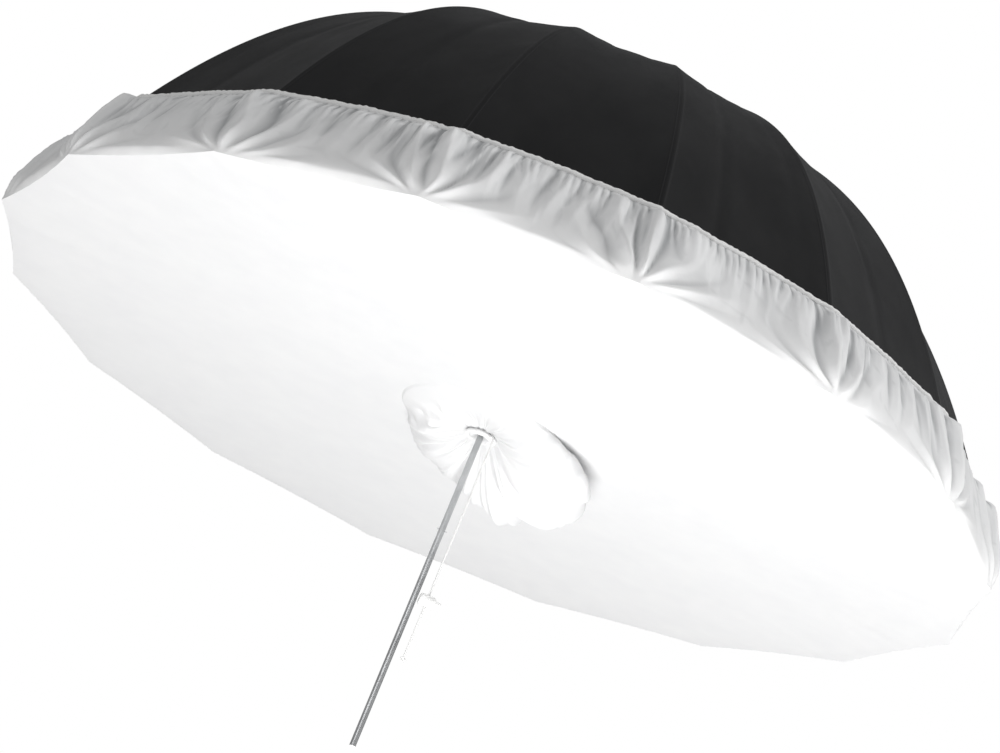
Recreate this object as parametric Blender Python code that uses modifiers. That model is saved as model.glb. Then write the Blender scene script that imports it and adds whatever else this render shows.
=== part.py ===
"""Deep sixteen-rib studio umbrella reflector with a stretch diffuser cover over its mouth.

Metres, +Z up along the shaft. The origin is the point where a clamp grips the shaft.
The umbrella is open: its apex is at the top, its mouth faces down, and rib_01 lies on +X.
"""
import math

import bmesh
import bpy
from mathutils import Matrix, Vector

# ---- driving dimensions -------------------------------------------------------------
RIB_COUNT = 16
RIM_RADIUS = 0.650            # circle through the corners of the open canopy
RIM_Z = 0.300                 # plane of the mouth, above the clamp point
DOME_DEPTH = 0.448
DOME_POWER = 3.09             # 2 would be a parabola; a higher power is fuller at the shoulder
APEX_Z = RIM_Z + DOME_DEPTH

SHAFT_RADIUS = 0.004
SHAFT_BORE = 0.0032
SHAFT_BOTTOM_Z = -0.1395
SHAFT_TOP_Z = APEX_Z + 0.007

FIT_GAP = 0.0003              # between pieces that touch
RUNNING_GAP = 0.00035         # between pieces that slide or turn on each other

FABRIC_OUTER = 0.0010
FABRIC_LINING = 0.0006
FABRIC_COVER = 0.0010
LINING_INSET = FABRIC_OUTER + FIT_GAP
RIB_HEIGHT = 0.0036            # flat bars on edge, deep in the plane that they bend in
RIB_THICKNESS = 0.0018
RIB_INSET = LINING_INSET + FABRIC_LINING + 0.0005 + RIB_HEIGHT / 2
CANOPY_HOLE = 0.0048

HINGE_RING_RADIUS = 0.0130    # ring wires that the ribs and stretchers hang on
RING_WIRE_RADIUS = 0.0007
EYE_BORE = 0.0011
EYE_RADIUS = 0.0026
HEAD_RADIUS = 0.0160
SLOT_WIDTH = 0.0025
SLOT_FLOOR_RADIUS = 0.0098
CROWN_Z = APEX_Z - 0.0088

TIP_RADIUS = 0.0024
TIP_LENGTH = 0.0090
CLIP_FRACTION = 0.46          # place of the stretcher clip, as a part of the rim radius
CLIP_DROP = 0.0062            # clip pivot below the rib's centre line
LUG_HALF = 0.0035             # half the lug's width where it meets the bar
RIB_SLOPE_AT_CLIP = 0.28
RUNNER_Z = 0.570              # hinge ring of the runner when the umbrella is open
RUNNER_GRIP = 0.048           # from the hinge ring to the runner's lower end
RUNNER_TRAVEL = 0.3698
STOP_PIN_Z = RUNNER_Z - RUNNER_TRAVEL - RUNNER_GRIP - 0.0020
STRETCHER_THICKNESS = 0.0014
STRETCHER_HEIGHT = 0.0030
STRETCHER_OFFSET = RIB_THICKNESS / 2 + FIT_GAP + STRETCHER_THICKNESS / 2   # it lies beside its rib

CATCH_LENGTH = 0.0255
CATCH_REACH = 0.0064
CATCH_THICKNESS = 0.0012
CATCH_Z = RUNNER_Z - RUNNER_GRIP - FIT_GAP - CATCH_LENGTH

HEM_RADIUS = 0.598            # where the gathered hem of the cover lies on the dome
HEM_CORD_RADIUS = 0.0028
COVER_FACE_Z = RIM_Z - 0.0050
SLEEVE_SIDE = math.radians(40)        # the drawn-in sleeve bags most on this side
# The sleeve from its hole in the face to its neck, each (radius, depth below the face).
SLEEVE_SLACK = [(0.110, 0.0014), (0.140, 0.007), (0.164, 0.020), (0.170, 0.040), (0.152, 0.056), (0.118, 0.064),
                (0.078, 0.056), (0.042, 0.032), (0.018, 0.010)]
SLEEVE_TAUT = [(0.110, 0.0014), (0.100, 0.003), (0.088, 0.005), (0.076, 0.007), (0.064, 0.008), (0.052, 0.008),
               (0.040, 0.008), (0.029, 0.009), (0.018, 0.010)]
CASING_RADIUS = 0.0025        # round hem that the drawstring runs in
NECK_RADIUS = SLEEVE_TAUT[-1][0]
CASING_Z = COVER_FACE_Z - FABRIC_COVER - SLEEVE_TAUT[-1][1] - CASING_RADIUS - 0.0016

CORD_RADIUS = 0.00125
CORD_AZIMUTH = math.radians(-70)      # where the drawstring leaves the neck's casing
CORD_OUT = 0.0340             # distance of its hanging part from the axis
CORD_LOCK_Z = 0.052
CORD_END_Z = -0.030
LOCK_RADIUS = 0.0080
LOCK_LENGTH = 0.0200
LOCK_PRESS = 0.0030
KNOT_RADIUS = 0.0040

SECTION_STEPS = 24            # around turned pieces
HEAD_STEPS = RIB_COUNT         # around the notched heads, one step a slot
DOME_ROWS = 9                 # from the crown's edge to the rim
FIRST_ROW_RADIUS = 0.030
CANOPY_EDGE_RADIUS = RIM_RADIUS - 0.004   # the rib tips stand a little past the fabric


# ---- scene and materials ------------------------------------------------------------
def clear_scene():
    for item in list(bpy.data.objects):
        bpy.data.objects.remove(item, do_unlink=True)


def new_collection(name):
    collection = bpy.data.collections.new(name)
    bpy.context.scene.collection.children.link(collection)
    return collection


def new_material(name, colour, roughness, metallic=0.0):
    material = bpy.data.materials.new(name)
    material.use_nodes = True
    shader = material.node_tree.nodes["Principled BSDF"]
    shader.inputs["Base Color"].default_value = (*colour, 1.0)
    shader.inputs["Roughness"].default_value = roughness
    shader.inputs["Metallic"].default_value = metallic
    return material


BLACK = (0.012, 0.012, 0.014)
SILVER = (0.62, 0.63, 0.64)
WHITE = (0.86, 0.86, 0.86)
STEEL = (0.45, 0.46, 0.47)
DARK_PLASTIC = (0.025, 0.025, 0.028)


def finish(name, mesh, colour, roughness, metallic=0.0):
    """Make a named part from a mesh, with a material of its own."""
    part = bpy.data.objects.new(name, mesh)
    PARTS.objects.link(part)
    if not mesh.materials:
        mesh.materials.append(new_material(name, colour, roughness, metallic))
    mesh.shade_smooth()
    mesh.set_sharp_from_angle(angle=math.radians(32))
    return part


def mesh_from_bmesh(name, work):
    bmesh.ops.recalc_face_normals(work, faces=work.faces)
    mesh = bpy.data.meshes.new(name)
    work.to_mesh(mesh)
    work.free()
    return mesh


def evaluated_mesh(source):
    """The mesh of an object with its modifiers or its curve bevel applied."""
    bpy.context.view_layer.update()
    graph = bpy.context.evaluated_depsgraph_get()
    mesh = bpy.data.meshes.new_from_object(source.evaluated_get(graph))
    mesh.transform(source.matrix_world)
    work = bmesh.new()
    work.from_mesh(mesh)
    bmesh.ops.remove_doubles(work, verts=work.verts, dist=1e-6)
    work.to_mesh(mesh)
    work.free()
    bpy.data.objects.remove(source, do_unlink=True)
    return mesh


# ---- solids -------------------------------------------------------------------------
def box_mesh(name, low, high):
    work = bmesh.new()
    bmesh.ops.create_cube(work, size=1.0)
    size = Vector(high) - Vector(low)
    centre = (Vector(high) + Vector(low)) / 2
    bmesh.ops.scale(work, vec=size, verts=work.verts)
    bmesh.ops.translate(work, vec=centre, verts=work.verts)
    return mesh_from_bmesh(name, work)


def cylinder_mesh(name, radius, length, axis="Z", centre=(0, 0, 0), segments=16):
    turn = {"X": Matrix.Rotation(math.pi / 2, 3, "Y"), "Y": Matrix.Rotation(math.pi / 2, 3, "X"),
            "Z": Matrix.Identity(3)}[axis]
    work = bmesh.new()
    bmesh.ops.create_cone(work, cap_ends=True, segments=segments, radius1=radius, radius2=radius,
                          depth=length)
    bmesh.ops.rotate(work, cent=(0, 0, 0), matrix=turn, verts=work.verts)
    bmesh.ops.translate(work, vec=centre, verts=work.verts)
    return mesh_from_bmesh(name, work)


def circle_outline(radius, count, x=0.0, z=0.0, first=0.0, last=2 * math.pi):
    """Points around a circle or an arc in the XZ plane, the end point of a full circle left out."""
    full = last - first > 1.99 * math.pi
    steps = count if full else count - 1
    angles = [first + (last - first) * i / steps for i in range(count)]
    return [(x + radius * math.cos(a), z + radius * math.sin(a)) for a in angles]


def outline_mesh(name, outlines, thickness, y=0.0):
    """Flat outlines in the XZ plane, the first with the others as holes, extruded along Y about y."""
    curve = bpy.data.curves.new(name, "CURVE")
    curve.dimensions = "2D"
    curve.fill_mode = "BOTH"
    curve.extrude = thickness / 2
    for outline in outlines:
        spline = curve.splines.new("POLY")
        spline.points.add(len(outline) - 1)
        spline.use_cyclic_u = True
        for point, (x, z) in zip(spline.points, outline):
            point.co = (x, z, 0, 1)
    holder = bpy.data.objects.new(name, curve)
    CUTTERS.objects.link(holder)
    holder.rotation_euler.x = math.pi / 2
    holder.location.y = y
    return evaluated_mesh(holder)


def rod_mesh(name, points, radius, resolution=2, cyclic=False):
    """A round rod, wire or cord along a list of points."""
    curve = bpy.data.curves.new(name, "CURVE")
    curve.dimensions = "3D"
    curve.bevel_depth = radius
    curve.bevel_resolution = resolution
    curve.use_fill_caps = not cyclic
    spline = curve.splines.new("POLY")
    spline.points.add(len(points) - 1)
    spline.use_cyclic_u = cyclic
    for point, place in zip(spline.points, points):
        point.co = (*place, 1)
    holder = bpy.data.objects.new(name, curve)
    CUTTERS.objects.link(holder)
    return evaluated_mesh(holder)


def turned_mesh(name, profile, closed=True, steps=SECTION_STEPS):
    """Turn a profile of (radius, height) points, outer side top to bottom, about Z."""
    mesh = bpy.data.meshes.new(name)
    edges = [(i, i + 1) for i in range(len(profile) - 1)]
    if closed:
        edges.append((len(profile) - 1, 0))
    mesh.from_pydata([(radius, 0, height) for radius, height in profile], edges, [])
    holder = bpy.data.objects.new(name, mesh)
    CUTTERS.objects.link(holder)
    screw = holder.modifiers.new("Turn", "SCREW")
    screw.steps = steps
    screw.render_steps = steps
    screw.use_merge_vertices = True
    screw.merge_threshold = 0.00001
    return evaluated_mesh(holder)


def combine(name, base, cutters=(), additions=()):
    """Unite a mesh with the additions, then take the cutters out of it."""
    holder = bpy.data.objects.new(name, base)
    CUTTERS.objects.link(holder)
    tools = []
    for operation, meshes in (("UNION", additions), ("DIFFERENCE", cutters)):
        for mesh in meshes:
            tool = bpy.data.objects.new(name + "_tool", mesh)
            CUTTERS.objects.link(tool)
            tools.append(tool)
            modifier = holder.modifiers.new(operation.title(), "BOOLEAN")
            modifier.operation = operation
            modifier.object = tool
            modifier.solver = "EXACT"
    result = evaluated_mesh(holder)
    for tool in tools:
        bpy.data.objects.remove(tool, do_unlink=True)
    return result


# ---- the dome -----------------------------------------------------------------------
def dome_point(radius, inset=0.0):
    """A point of the dome's profile as (radius, height), moved inwards along its normal."""
    height = RIM_Z + DOME_DEPTH * (1 - (radius / RIM_RADIUS) ** DOME_POWER)
    slope = DOME_DEPTH * DOME_POWER * radius ** (DOME_POWER - 1) / RIM_RADIUS ** DOME_POWER
    length = math.hypot(1.0, slope)
    return radius - inset * slope / length, height - inset / length


def dome_radii(start, end, rows):
    """Radii from start to end, closer together where the dome is steep."""
    first = math.asin(start / RIM_RADIUS)
    last = math.asin(end / RIM_RADIUS)
    return [RIM_RADIUS * math.sin(first + (last - first) * i / (rows - 1)) for i in range(rows)]


def dome_rows():
    """The rows of points that the canopy, its lining and the ribs share."""
    return dome_radii(FIRST_ROW_RADIUS, CANOPY_EDGE_RADIUS, DOME_ROWS)


def rib_azimuth(index):
    return 2 * math.pi * index / RIB_COUNT


def around(radius, height, azimuth):
    return (radius * math.cos(azimuth), radius * math.sin(azimuth), height)


def ring_shell(name, rings, thickness, outwards):
    """A shell through rings of points, given from the top down."""
    work = bmesh.new()
    rows = [[work.verts.new(point) for point in ring] for ring in rings]
    count = len(rings[0])
    for upper, lower in zip(rows, rows[1:]):
        for c in range(count):
            after = (c + 1) % count
            work.faces.new((upper[c], lower[c], lower[after], upper[after]))
    mesh = bpy.data.meshes.new(name)
    work.to_mesh(mesh)
    work.free()
    holder = bpy.data.objects.new(name, mesh)
    CUTTERS.objects.link(holder)
    shell = holder.modifiers.new("Thickness", "SOLIDIFY")
    shell.thickness = thickness
    shell.offset = 1.0 if outwards else -1.0
    shell.use_even_offset = True
    return evaluated_mesh(holder)


def gored_shell(name, profile, thickness, outwards):
    """A shell of flat gores through (radius, height) points, given from the top down."""
    rings = [[around(radius, height, rib_azimuth(c)) for c in range(RIB_COUNT)] for radius, height in profile]
    return ring_shell(name, rings, thickness, outwards)


def build_canopy():
    radii = [CANOPY_HOLE] + dome_rows()
    outer = [dome_point(radius) for radius in radii]
    finish("canopy_outer", gored_shell("canopy_outer", outer, FABRIC_OUTER, False), BLACK, 0.75)
    lining = [dome_point(radius, LINING_INSET) for radius in radii]
    finish("canopy_lining", gored_shell("canopy_lining", lining, FABRIC_LINING, False), SILVER, 0.35, 0.6)


# ---- shaft, crown and cap -----------------------------------------------------------
def notched_head(name, profile, slot_low, slot_high, side=0.0, keyway=None):
    """A turned head with a slot for each arm; the profile has the groove for its ring wire."""
    slots = []
    for index in range(RIB_COUNT):
        slot = box_mesh("slot", (SLOT_FLOOR_RADIUS, side - SLOT_WIDTH / 2, slot_low),
                        (HEAD_RADIUS * 1.5, side + SLOT_WIDTH / 2, slot_high))
        slot.transform(Matrix.Rotation(rib_azimuth(index), 4, "Z"))
        slots.append(slot)
    if keyway:
        slots.append(keyway)
    return combine(name, turned_mesh(name, profile, steps=HEAD_STEPS), cutters=slots)


def groove(centre_z):
    """The four profile points of the ring wire's groove, from its upper edge to its lower edge."""
    floor = HINGE_RING_RADIUS - RING_WIRE_RADIUS - RUNNING_GAP
    half = RING_WIRE_RADIUS + RUNNING_GAP
    return [(HEAD_RADIUS, centre_z + half), (floor, centre_z + half),
            (floor, centre_z - half), (HEAD_RADIUS, centre_z - half)]


def ring_wire(name, centre_z):
    points = [around(HINGE_RING_RADIUS, centre_z, math.pi * i / RIB_COUNT) for i in range(2 * RIB_COUNT)]
    finish(name, rod_mesh(name, points, RING_WIRE_RADIUS, 0, cyclic=True), STEEL, 0.3, 1.0)


def build_crown():
    bore = SHAFT_RADIUS + FIT_GAP
    top = 0.0046
    bottom = -0.0032
    profile = [(HEAD_RADIUS - 0.001, top), (HEAD_RADIUS, top - 0.001)] + groove(0.0)
    profile += [(HEAD_RADIUS, bottom), (0.0095, bottom), (0.0080, -0.0110), (bore, -0.0110), (bore, top)]
    mesh = notched_head("crown", profile, bottom - 0.001, 0.0032)
    mesh.transform(Matrix.Translation((0, 0, CROWN_Z)))
    finish("crown", mesh, DARK_PLASTIC, 0.45)
    ring_wire("crown_ring", CROWN_Z)


def build_shaft():
    tube = turned_mesh("shaft_tube", [(SHAFT_RADIUS, SHAFT_TOP_Z), (SHAFT_RADIUS, SHAFT_BOTTOM_Z),
                                      (SHAFT_BORE, SHAFT_BOTTOM_Z), (SHAFT_BORE, SHAFT_TOP_Z)], steps=24)
    window = box_mesh("window", (0.0015, -0.0010, CATCH_Z + 0.0025),
                      (0.0060, 0.0010, CATCH_Z + CATCH_LENGTH + 0.0015))
    pin_hole = cylinder_mesh("pin_hole", 0.0009, 0.012, "Y", (0, 0, CATCH_Z))
    stop_hole = cylinder_mesh("stop_hole", 0.0011, 0.012, "X", (0, 0, STOP_PIN_Z))
    finish("shaft_tube", combine("shaft_tube", tube, cutters=[window, pin_hole, stop_hole]),
           STEEL, 0.28, 1.0)
    plug = [(0.0026, SHAFT_BOTTOM_Z + 0.012), (0.0028, SHAFT_BOTTOM_Z - FIT_GAP),
            (0.0040, SHAFT_BOTTOM_Z - FIT_GAP), (0.0040, SHAFT_BOTTOM_Z - 0.0015),
            (0.0032, SHAFT_BOTTOM_Z - 0.0020)]
    profile = [(0.0, SHAFT_BOTTOM_Z + 0.012)] + plug + [(0.0, SHAFT_BOTTOM_Z - 0.0020)]
    finish("shaft_end_plug", turned_mesh("shaft_end_plug", profile, closed=False, steps=24), WHITE, 0.5)


def build_pins():
    finish("catch_pin", cylinder_mesh("catch_pin", 0.0006, 0.0078, "Y", (0, 0, CATCH_Z), 12), STEEL, 0.3, 1.0)
    stop = cylinder_mesh("stop_pin", 0.0008, 0.0130, "X", (0, 0, STOP_PIN_Z), 12)
    finish("stop_pin", stop, STEEL, 0.3, 1.0)


def build_cap():
    """Washer on the canopy and the cap that closes the shaft's upper end."""
    washer_low = APEX_Z + FIT_GAP
    washer_high = washer_low + 0.0010
    hole = SHAFT_RADIUS + FIT_GAP
    washer = [(0.0125, washer_high), (0.0125, washer_low), (hole, washer_low), (hole, washer_high)]
    finish("canopy_washer", turned_mesh("canopy_washer", washer), STEEL, 0.35, 1.0)
    low = washer_high + FIT_GAP
    top = SHAFT_TOP_Z + 0.0045
    profile = [(0.0, top), (0.0042, top), (0.0058, top - 0.0012), (0.0064, top - 0.0032),
               (0.0066, low + 0.0015), (0.0085, low + 0.0008), (0.0085, low), (hole, low),
               (hole, SHAFT_TOP_Z + FIT_GAP), (0.0, SHAFT_TOP_Z + FIT_GAP)]
    finish("ferrule_cap", turned_mesh("ferrule_cap", profile, closed=False), DARK_PLASTIC, 0.4)


# ---- top catch ----------------------------------------------------------------------
def build_catch():
    """A leaf in the shaft: pressed in, it lets the runner pass its upper edge."""
    top = CATCH_LENGTH
    outline = [(-0.0014, -0.0016), (0.0014, -0.0016), (0.0016, 0.0060), (CATCH_REACH, top - 0.0018),
               (CATCH_REACH, top), (0.0008, top), (-0.0014, 0.0030)]
    leaf = outline_mesh("top_catch", [outline, circle_outline(0.0009, 10)], CATCH_THICKNESS)
    part = finish("top_catch", leaf, STEEL, 0.35, 1.0)
    part.location.z = CATCH_Z


# ---- ribs ---------------------------------------------------------------------------
def rib_line():
    """The rib's centre line in the frame of its hinge, as (x, z)."""
    line = [(HINGE_RING_RADIUS + EYE_RADIUS, CROWN_Z), (FIRST_ROW_RADIUS, CROWN_Z + 0.0008)]
    line += [dome_point(radius, RIB_INSET) for radius in dome_rows()[1:] + [RIM_RADIUS]]
    return [Vector((radius - HINGE_RING_RADIUS, height - CROWN_Z)) for radius, height in line]


def clip_pivot():
    """Where the stretcher meets the rib, below the rib's bar, in the frame of the rib's hinge."""
    x = CLIP_FRACTION * RIM_RADIUS - HINGE_RING_RADIUS
    line = rib_line()
    before, after = next(pair for pair in zip(line, line[1:]) if pair[1].x > x)
    share = (x - before.x) / (after.x - before.x)
    return Vector((x, before.y + share * (after.y - before.y) - CLIP_DROP))


def edge_line(line, offset):
    """A line moved sideways, upwards for a positive offset."""
    moved = []
    for index, point in enumerate(line):
        before = line[max(index - 1, 0)]
        after = line[min(index + 1, len(line) - 1)]
        along = (after - before).normalized()
        moved.append(point + offset * Vector((-along.y, along.x)))
    return moved


def rib_mesh():
    """One rib in the frame of its hinge: eye, bar and clip lug in one outline, and a round tip."""
    line = rib_line()
    half = RIB_HEIGHT / 2
    pivot = clip_pivot()
    top = edge_line(line, half)
    lower = edge_line(line, -half)
    root = pivot.y + CLIP_DROP - half - 0.0002
    rise = LUG_HALF * RIB_SLOPE_AT_CLIP
    lug = [(pivot.x - LUG_HALF, root + rise), (pivot.x - 0.0025, pivot.y - 0.0022),
           (pivot.x + 0.0025, pivot.y - 0.0022), (pivot.x + LUG_HALF, root - rise)]
    under = [tuple(p) for p in lower if p.x < pivot.x] + lug + [tuple(p) for p in lower if p.x > pivot.x]
    eye = circle_outline(EYE_RADIUS, 7, first=0.25 * math.pi, last=1.75 * math.pi)
    outline = eye + under + [tuple(p) for p in reversed(top)]
    bar = outline_mesh("rib", [outline, circle_outline(EYE_BORE, 8)], RIB_THICKNESS)
    tip = cylinder_mesh("tip", TIP_RADIUS, TIP_LENGTH, "Z", segments=8)
    end = Vector((line[-1].x, 0, line[-1].y))
    direction = (end - Vector((line[-2].x, 0, line[-2].y))).normalized()
    tip.transform(Matrix.Translation(end - direction * 0.3 * TIP_LENGTH)
                  @ direction.to_track_quat("Z", "Y").to_matrix().to_4x4())
    return combine("rib", bar, additions=[tip])


def build_ribs():
    mesh = rib_mesh()
    for index in range(RIB_COUNT):
        azimuth = rib_azimuth(index)
        part = finish(f"rib_{index + 1:02d}", mesh, STEEL, 0.4, 1.0)
        part.location = around(HINGE_RING_RADIUS, CROWN_Z, azimuth)
        part.rotation_euler.z = azimuth


# ---- runner and stretchers ----------------------------------------------------------
def build_runner():
    bore = SHAFT_RADIUS + RUNNING_GAP
    end = -RUNNER_GRIP
    profile = [(0.0088, 0.0110), (0.0092, 0.0100), (0.0092, 0.0040), (HEAD_RADIUS, 0.0040)]
    profile += groove(0.0)
    profile += [(HEAD_RADIUS, -0.0040), (0.0100, -0.0055), (0.0092, -0.0090), (0.0092, end + 0.0100),
                (0.0115, end + 0.0040), (0.0115, end + 0.0010), (0.0105, end), (bore, end), (bore, 0.0110)]
    keyway = box_mesh("keyway", (0.0, -0.0010, end - 0.002), (CATCH_REACH + 0.0005, 0.0010, 0.0130))
    mesh = notched_head("runner_body", profile, -0.0032, 0.0055, STRETCHER_OFFSET, keyway)
    mesh.transform(Matrix.Translation((0, 0, RUNNER_Z)))
    finish("runner_body", mesh, DARK_PLASTIC, 0.45)
    ring_wire("runner_ring", RUNNER_Z)


def stretcher_mesh():
    """One stretcher in the frame of its hinge: a flat bar with a round eye at each end."""
    pivot = clip_pivot() + Vector((0, CROWN_Z - RUNNER_Z))
    half = STRETCHER_HEIGHT / 2
    spread = math.asin(half / EYE_RADIUS)
    near = circle_outline(EYE_RADIUS, 7, first=spread, last=2 * math.pi - spread)
    far = circle_outline(EYE_RADIUS, 7, x=pivot.length, first=spread - math.pi, last=math.pi - spread)
    holes = [circle_outline(EYE_BORE, 8), circle_outline(EYE_BORE, 8, x=pivot.length)]
    mesh = outline_mesh("stretcher", [near + far] + holes, STRETCHER_THICKNESS, STRETCHER_OFFSET)
    mesh.transform(Matrix.Rotation(-math.atan2(pivot.y, pivot.x), 4, "Y"))
    return mesh


def build_stretchers():
    mesh = stretcher_mesh()
    for index in range(RIB_COUNT):
        azimuth = rib_azimuth(index)
        part = finish(f"stretcher_{index + 1:02d}", mesh, STEEL, 0.4, 1.0)
        part.location = around(HINGE_RING_RADIUS, RUNNER_Z, azimuth)
        part.rotation_euler.z = azimuth


# ---- diffuser cover -----------------------------------------------------------------
def build_cover():
    corner = RIM_RADIUS + FIT_GAP + FABRIC_COVER
    face = [(SLEEVE_TAUT[0][0], COVER_FACE_Z), (0.5 * corner, COVER_FACE_Z), (corner, COVER_FACE_Z)]
    finish("cover_face", gored_shell("cover_face", face, FABRIC_COVER, False), WHITE, 0.8)
    radii = dome_radii(HEM_RADIUS, RIM_RADIUS, 4)
    skirt = [dome_point(radius, -FIT_GAP) for radius in radii]
    skirt.append((RIM_RADIUS + FIT_GAP, COVER_FACE_Z + FIT_GAP))
    finish("cover_skirt", gored_shell("cover_skirt", skirt, FABRIC_COVER, True), WHITE, 0.8)
    build_hem()
    build_sleeve()


def build_hem():
    """The elastic cord in the cover's gathered hem."""
    radius, height = dome_point(HEM_RADIUS - 0.0022, -HEM_CORD_RADIUS - 2 * FIT_GAP)
    points = [around(radius, height, rib_azimuth(c)) for c in range(RIB_COUNT)]
    finish("cover_hem", rod_mesh("cover_hem", points, HEM_CORD_RADIUS, 1, cyclic=True), WHITE, 0.7)


def sleeve_place(azimuth, row):
    """A point of the sleeve's wall, from row 0 at the face to the last row at its neck."""
    slack = (0.5 + 0.5 * math.cos(azimuth - SLEEVE_SIDE)) ** 1.5
    radius, depth = [taut + slack * (full - taut) for taut, full in zip(SLEEVE_TAUT[row], SLEEVE_SLACK[row])]
    return around(radius, COVER_FACE_Z - FABRIC_COVER - FIT_GAP - depth, azimuth)


def build_sleeve():
    """The slack sleeve, drawn in round the shaft by the cord in its neck's casing."""
    azimuths = [2 * math.pi * i / SECTION_STEPS for i in range(SECTION_STEPS)]
    rings = [[sleeve_place(azimuth, row) for azimuth in azimuths] for row in range(len(SLEEVE_TAUT))]
    finish("cover_sleeve", ring_shell("cover_sleeve", rings, FABRIC_COVER, False), WHITE, 0.8)
    points = [around(NECK_RADIUS, CASING_Z, azimuth) for azimuth in azimuths]
    finish("sleeve_casing", rod_mesh("sleeve_casing", points, CASING_RADIUS, 1, cyclic=True), WHITE, 0.8)


# ---- drawstring ---------------------------------------------------------------------
# The drawstring's own points past its exit, each (distance from the axis less CORD_OUT, height).
CORD_ROUTE = [(-0.0085, 0.2784), (-0.0045, 0.2774), (-0.0016, 0.2752), (-0.0003, 0.2716), (0.0002, 0.2650),
              (0.0002, 0.2540), (-0.0002, 0.2420), (-0.0004, 0.2300), (-0.0002, 0.2180), (0.0004, 0.2060),
              (0.0009, 0.1940), (0.0011, 0.1820), (0.0009, 0.1680), (0.0006, 0.1520), (0.0003, 0.1350),
              (0.0001, 0.1180), (0.0, 0.1000), (0.0, 0.0800), (0.0, 0.0660), (0.0, 0.0520),
              (0.0, 0.0380), (0.0, 0.0200), (0.0, 0.0020)]


def smooth_line(points, spacing):
    """Points about spacing apart on one smooth curve through the given ones."""
    line = [points[0]]
    ends = [points[0]] + points + [points[-1]]
    for p0, p1, p2, p3 in zip(ends, ends[1:], ends[2:], ends[3:]):
        steps = max(1, round((p2 - p1).length / spacing))
        for step in range(1, steps + 1):
            t = step / steps
            bend = (2 * p0 - 5 * p1 + 4 * p2 - p3) * t * t + (3 * p1 - p0 - 3 * p2 + p3) * t * t * t
            line.append(p1 + ((p2 - p0) * t + bend) / 2)
    return line


def cord_place(offset, height):
    """A point of the drawstring, in the upright plane of its exit."""
    return Vector(around(CORD_OUT + offset, height, CORD_AZIMUTH))


def build_drawstring():
    start = (NECK_RADIUS + CASING_RADIUS + FIT_GAP - CORD_OUT, CORD_ROUTE[0][1])
    route = [start] + CORD_ROUTE + [(0.0, CORD_END_Z + 2 * KNOT_RADIUS + FIT_GAP)]
    points = smooth_line([cord_place(offset, height) for offset, height in route], 4 * CORD_RADIUS)
    finish("drawstring", rod_mesh("drawstring", points, CORD_RADIUS, 2), WHITE, 0.7)
    work = bmesh.new()
    bmesh.ops.create_uvsphere(work, u_segments=12, v_segments=8, radius=KNOT_RADIUS)
    knot = mesh_from_bmesh("drawstring_knot", work)
    part = finish("drawstring_knot", knot, WHITE, 0.7)
    part.location = cord_place(0.0, CORD_END_Z + KNOT_RADIUS)


def build_cord_lock():
    """A barrel lock lying across the cord, with its sprung plunger at the +X end."""
    half = LOCK_LENGTH / 2
    profile = [(0.0, half), (0.0062, half), (LOCK_RADIUS, half - 0.002), (LOCK_RADIUS, 0.002 - half),
               (0.0062, -half), (0.0, -half)]
    barrel = turned_mesh("cord_lock_body", profile, closed=False, steps=24)
    barrel.transform(Matrix.Rotation(math.pi / 2, 4, "Y"))
    bore = cylinder_mesh("bore", 0.0051, LOCK_LENGTH, "X", (0.0035, 0, 0), 24)
    cord_hole = cylinder_mesh("cord_hole", 0.0022, 0.030, "Z")
    body = combine("cord_lock_body", barrel, cutters=[bore, cord_hole])
    place_on_cord(finish("cord_lock_body", body, WHITE, 0.4))
    stem = cylinder_mesh("stem", 0.0046, 0.0150, "X", (0.0062, 0, 0), 24)
    button = cylinder_mesh("button", 0.0046, 0.0040, "X", (0.0150, 0, 0), 24)
    past_cord = CORD_RADIUS + FIT_GAP
    slot = box_mesh("slot", (-past_cord, -0.0017, -0.01), (past_cord + LOCK_PRESS, 0.0017, 0.01))
    plunger = combine("cord_lock_plunger", stem, cutters=[slot], additions=[button])
    place_on_cord(finish("cord_lock_plunger", plunger, WHITE, 0.4))
    turns = 3
    per_turn = 8
    start = -0.0060
    pitch = (-0.0020 - start) / turns
    points = [(start + pitch * i / per_turn, 0.0036 * math.cos(2 * math.pi * i / per_turn),
               0.0036 * math.sin(2 * math.pi * i / per_turn)) for i in range(turns * per_turn + 1)]
    spring = rod_mesh("cord_lock_spring", points, 0.0004, 0)
    place_on_cord(finish("cord_lock_spring", spring, STEEL, 0.3, 1.0))


def place_on_cord(part):
    part.location = cord_place(0.0, CORD_LOCK_Z)


# ---- build --------------------------------------------------------------------------
clear_scene()
PARTS = new_collection("umbrella_reflector")
CUTTERS = new_collection("cutters")
build_shaft()
build_pins()
build_crown()
build_cap()
build_catch()
build_ribs()
build_runner()
build_stretchers()
build_canopy()
build_cover()
build_drawstring()
build_cord_lock()
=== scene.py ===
"""Visual model of a sixteen-rib studio umbrella reflector with a stretch diffuser cover.

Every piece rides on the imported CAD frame: metres, +Z up along the shaft, origin at the clamp point.
"""
import math

import bpy
import numpy as np
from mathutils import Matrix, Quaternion, Vector, noise


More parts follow.
